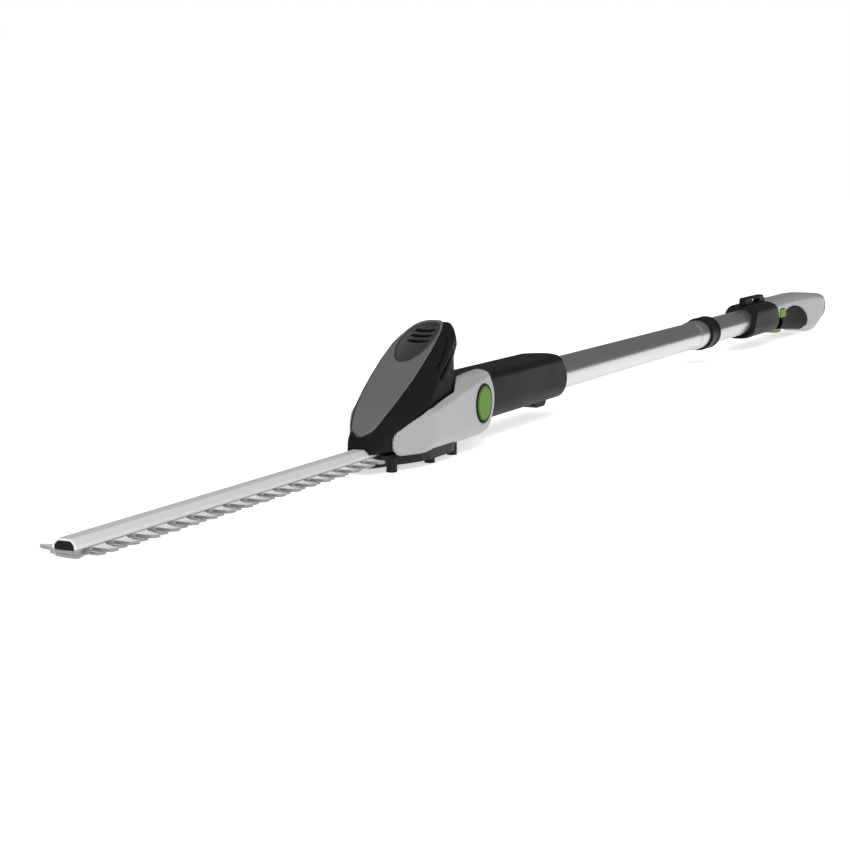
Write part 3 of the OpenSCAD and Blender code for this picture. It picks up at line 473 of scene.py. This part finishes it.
FZ = [-24.4, -13, -8.6, -4.5, 0, 8, 17.5, 26.2, 36.8, 48.8, 60.2, 66.4, 72.4, 76.3, 78.4]
FX = [-176.5, -176, -174.6, -171, -166, -156, -142, -128, -110, -90, -70, -58, -45, -35, -27]
FW = [9.5, 9, 8, 6.5, 10.6, 14.2, 17, 18.8, 20.2, 20.6, 19.8, 18.4, 16, 13, 8.6]


def head_fields(x, y, z):
    ay = np.abs(y)
    s = poly(HEAD_SIDE, x, z)
    k = np.interp(z, [22, 30, 48, 58, 64, 74], [0, 3.5, 3.5, -4, -3, 1.5])
    p = poly(HEAD_PLAN, x + k, ay)
    f = poly(HEAD_FRONT, ay, z)
    slope = np.interp(z, [0, 10, 22, 40], [0.60, 0.50, 0.36, 0.30])
    p1 = (ay - (np.interp(z, FZ, FW) + 1.2 + slope * (x - np.interp(z, FZ, FX)))) / 1.08
    p2 = (ay - 0.40 * x + 1.90 * z - 172.4) / 2.183
    return s, p, f, p1, p2


def slot_box(x, y, z, x0, z0, x1, z1, w, ylo):
    dx, dz = x1 - x0, z1 - z0
    ln = math.hypot(dx, dz)
    u = ((x - x0) * dx + (z - z0) * dz) / ln
    v = (-(x - x0) * dz + (z - z0) * dx) / ln
    d = np.hypot(u - np.clip(u, w, ln - w), v) - w
    return np.maximum(d, ylo - np.abs(y))


def f_head(x, y, z):
    s, p, f, p1, p2 = head_fields(x, y, z)
    o = rint(s, p, 3.5)
    o = rint(o, f, 6)
    o = rint(o, p1, 2.2)
    o = rint(o, p2, 4)
    inner = np.maximum(np.maximum(np.maximum(s, p), np.maximum(f, p1)), p2) + 2.5
    sl1 = slot_box(x, y, z, -46, 65.5, -80, 40.5, 1.5, 16)
    sl2 = slot_box(x, y, z, -45, 54, -80, 32.5, 1.5, 16)
    inner = np.maximum(inner, np.minimum(2.6 - np.minimum(sl1, sl2), o + 6.5))
    d = np.maximum(o, -inner)
    # bed of the top panel and well of the vent
    pn = poly(PANEL, x, y)
    d = np.maximum(d, -np.maximum(pn - 0.5, -(s + 1.7)))
    d = np.maximum(d, -np.maximum(oval(x, y, z, 35.4, 16.4), -(s + 2.15)))
    d = np.maximum(d, -np.maximum(oval(x, y, z, 33.0, 14.2), -(s + 8)))
    # underside, blade bar, knuckle and cheek space
    d = np.maximum(d, -np.maximum(np.maximum(p + 2.5, z + 18), np.maximum(-171 - x, x + 34)))
    d = np.maximum(d, -np.maximum(rint(np.abs(y) - 9.15, z + 17.35, 3.4), x + 150))
    d = np.maximum(d, -np.maximum(np.hypot(x, z - 3) - 27.5, np.abs(y) - 25.3))
    d = np.maximum(d, -np.maximum(-31.5 - x, z - 33.8))
    # long slots in the flanks
    d = rsub(d, np.maximum(sl1, -(o + 3.6)), 0.5)
    d = rsub(d, np.maximum(sl2, -(o + 3.6)), 0.5)
    return d


def f_panel(x, y, z):
    s = poly(HEAD_SIDE, x, z)
    d = rint(s - 0.3, poly(PANEL, x, y), 0.9)
    d = np.maximum(d, -(s + 1.6))
    return rsub(d, oval(x, y, z, 35.2, 16.2), 0.5)


def f_vent(x, y, z):
    s = poly(HEAD_SIDE, x, z)
    u = (x + 62) * CT + (z - 65) * ST
    r2 = np.clip((u / 33) ** 2 + (y / 14.4) ** 2, 0, 1)
    dish = s + 0.25 + 2.4 * (1 - r2)
    d = rint(dish, oval(x, y, z, 35.0, 16.0), 0.7)
    d = np.maximum(d, np.minimum(-(s + 2.0), np.maximum(-(s + 4.6), oval(x, y, z, 32.4, 13.6))))
    for i in range(3):
        uc = 1.2 + i * 8.6
        hl = 10.4 - i * 0.3
        q = np.hypot(u - uc, np.maximum(np.abs(y) - hl + 2, 0)) - 2.0
        d = rsub(d, q, 0.4)
        c = np.maximum(np.hypot(u - uc - 3.3, np.maximum(np.abs(y) - hl, 0)) - 1.0, np.abs(dish - 0.1) - 1.0)
        d = runi(d, c, 0.5)
    return d


COVER_SIDE = rounded([[-152, -26.3, 10], [-24, -26.3, 0], [12, -25.5, 24], [31, 6, 24], [11, 33.2, 9], [-33, 31.4, 8], [-44, 28.6, 6],
                      [-60, 26, 6], [-78, 19.5, 14], [-112, 9.5, 40], [-131, 2, 20], [-152, -8, 11.5]])
COVER_PLAN = mirror([[-160, 14], [-156, 17.6], [-150, 21.3], [-140, 26.4], [-130, 31.2], [-120, 35.2], [-112, 37.2], [-105, 38], [60, 38]])


def f_cover(sg):
    def f(x, y, z):
        ay = sg * y
        d = rint(poly(COVER_SIDE, x, z), poly(COVER_PLAN, x, ay), 2.6)
        d = rint(d, -0.125 * (x + 90) + 0.66 * (ay - 38) + 0.741 * (z - 12.6), 3.0)
        d = rint(d, 0.85 * (ay - 38) + 0.527 * (-z - 20), 2.0)
        inner = np.where(x < -31.5, np.minimum(poly(HEAD_PLAN, x, ay) - 0.15, np.where(x > -40, ay - 25.6, 99.0)), ay - 25.6)
        d = np.maximum(d, -inner)
        d = rsub(d, np.maximum(np.hypot(x, z - 3) - 17.75, 31.1 - ay), 0.6)
        return np.maximum(d, -(np.hypot(x, z - 3) - 6.2))
    return f


HAND_SIDE = np.vstack([[[1120, 24.5], [1120, -21.5]], spline([[1120, -21.5], [1165, -21.5], [1205, -22], [1243, -25.2], [1280, -28], [1320, -30.4],
            [1345, -33.6], [1362, -36.4], [1377, -38.3], [1395, -38.9], [1411, -38.2], [1432, -34.6], [1453, -29], [1470, -24.4], [1485, -19],
            [1497, -12.4], [1505, -5.4], [1507.8, 0.4], [1506, 5.6], [1498, 10.4], [1480, 15.2], [1455, 18.4], [1425, 20.8], [1385, 22.8],
            [1327, 24.2], [1240, 24.5], [1120, 24.5]], 4, False)[1:]])
HAND_PLAN = mirror(np.vstack([spline([[1120, 24], [1165, 23.4], [1200, 22], [1250, 20.6], [1300, 21], [1345, 22.6], [1385, 23.8], [1425, 24],
            [1455, 24], [1478, 23.2], [1490, 21.6], [1499, 18], [1505, 12], [1507.6, 5], [1507.8, 0]], 4, False)]))
HAND_SEC = np.vstack([[[-90, 24.5]], rounded([[-90, 24.5, 0], [24, 24.5, 12], [24, -40, 13], [-90, -40, 0]])[1:-1], [[-90, -40]]])


def hand(x, y, z):
    ay = np.abs(y)
    d = rint(poly(HAND_SIDE, x, z), poly(HAND_PLAN, x, ay), 10)
    return np.maximum(d, poly(HAND_SEC, ay, z))


WINDOW = rounded([[1150, -60, 0], [1163.6, -2.2, 0], [1192.5, -4, 3], [1197, -19, 8], [1199, -60, 0]])
REAR_ZONE = np.array([[989, -60], [1064, 60], [1130, 60], [1136, 24.5], [1146, 19.5], [1154, 13], [1160, 6], [1163, 0], [1164, -60]], float)
GRIP_ZONE = np.vstack([[[1164.2, -60]], spline([[1163.4, -1.8], [1200, -1.8], [1212, 3.6], [1232, 7.6], [1254, 9.2], [1275, 9.2], [1292, 7.8], [1310, 5.2],
            [1326, 1.6], [1340, -3.4], [1350, -8.4], [1356, -13], [1358.6, -17.4], [1357, -22], [1351, -26], [1340, -29.4], [1331, -60]], 4, False)])
LATCH = np.array([[1483, 4.4], [1495.5, 4], [1499.6, -1.6], [1496, -8.2], [1484, -16.8], [1470, -22.4], [1465.4, -21], [1474.6, -13.6], [1481.4, -5]])


def button_hole(x, z):
    return np.hypot(x - np.clip(x, 1175.8, 1201.4), z - np.clip(z, 1.2, 5.8)) - 4.4


def bay(x, y, z):
    q = np.hypot(np.maximum(np.abs(y) - 11.2, 0), np.maximum(np.abs(z + 4.65) - 10.5, 0)) - 9.7
    return np.maximum(q, 1370 - x)


def f_handle(x, y, z):
    h = hand(x, y, z)
    d = np.maximum(h, -(h + 2.4))
    d = np.maximum(d, x - 1445.0)
    d = np.maximum(d, 1120 - x)
    d = rsub(d, poly(REAR_ZONE, x, z) - 0.25, 0.5)
    d = rsub(d, poly(GRIP_ZONE, x, z) - 0.25, 0.6)
    d = np.maximum(d, -bay(x, y, z))
    d = rsub(d, poly(WINDOW, x, z), 0.6)
    return np.maximum(d, -button_hole(x, z))


def f_grip(x, y, z):
    h = hand(x, y, z)
    d = rint(h + 0.05, poly(GRIP_ZONE, x, z) + 0.25, 0.8)
    d = np.maximum(d, -(h + 2.6))
    t = np.maximum(np.hypot(x - np.clip(x, 1178, 1245), y - np.clip(y, -7.5, 7.5)) - 2, z + 2)
    d = np.maximum(d, -t)
    d = rsub(d, poly(WINDOW, x, z), 0.8)
    d = np.maximum(d, -bay(x, y, z))
    return np.maximum(d, -button_hole(x, z))


def f_batt(x, y, z):
    h = hand(x, y, z)
    d = rint(h, 1445.6 - x, 0.5)
    d = np.maximum(d, -np.maximum(h + 2.6, 1447.4 - x))
    d = rsub(d, np.maximum(poly(LATCH, x, z) - 0.45, 10.3 - np.abs(y)), 0.4)
    return np.maximum(d, -np.maximum(np.hypot(np.maximum(np.abs(y) - 10.6, 0), np.maximum(np.abs(z + 4.65) - 9.8, 0)) - 7.4, x - 1451))


def f_latch(sg):
    def f(x, y, z):
        d = rint(hand(x, y, z) - 0.7, poly(LATCH, x, z), 1.4)
        return np.maximum(d, 12.4 - sg * y)
    return f


H = 1.0
net_object("head_shell", f_head, (-178, -36, -26), (-9, 36, 81), H, M["black_plastic"], "head", ("motor_housing_left", "motor_housing_right"))
net_object("head_panel", f_panel, (-176, -22, -10), (-18, 22, 81), 0.8, M["panel_plastic"], "head", ("top_panel",))
net_object("vent_dish", f_vent, (-99, -17, 38), (-26, 17, 82), 0.6, M["vent_plastic"], "head", ("vent_insert",))
net_object("cheek_left", f_cover(-1), (-155, -39, -28), (31, -14, 35), H, M["silver_plastic"], "head", ("side_cover_left",))
net_object("cheek_right", f_cover(1), (-155, 14, -28), (31, 39, 35), H, M["silver_plastic"], "head", ("side_cover_right",))
net_object("handle_moulding", f_handle, (1119, -25, -41), (1447, 25, 26), H, M["silver_plastic"], "handle", ("handle_shell_left", "handle_shell_right"))
net_object("grip_pads", f_grip, (1162, -25, -41), (1361, 25, 11), H, M["soft_grip"], "handle", ("grip_left", "grip_right"))
net_object("battery_nose", f_batt, (1444, -25, -36), (1510, 25, 21), H, M["silver_plastic"], "battery", ("battery_end",))
net_object("latch_pad_left", f_latch(-1), (1463, -25, -24), (1502, -12, 6), 0.7, M["green_plastic"], "battery_latch_left", ("battery_latch_left",))
net_object("latch_pad_right", f_latch(1), (1463, 12, -24), (1502, 25, 6), 0.7, M["green_plastic"], "battery_latch_right", ("battery_latch_right",))

bpy.context.scene.view_settings.view_transform = "Standard"
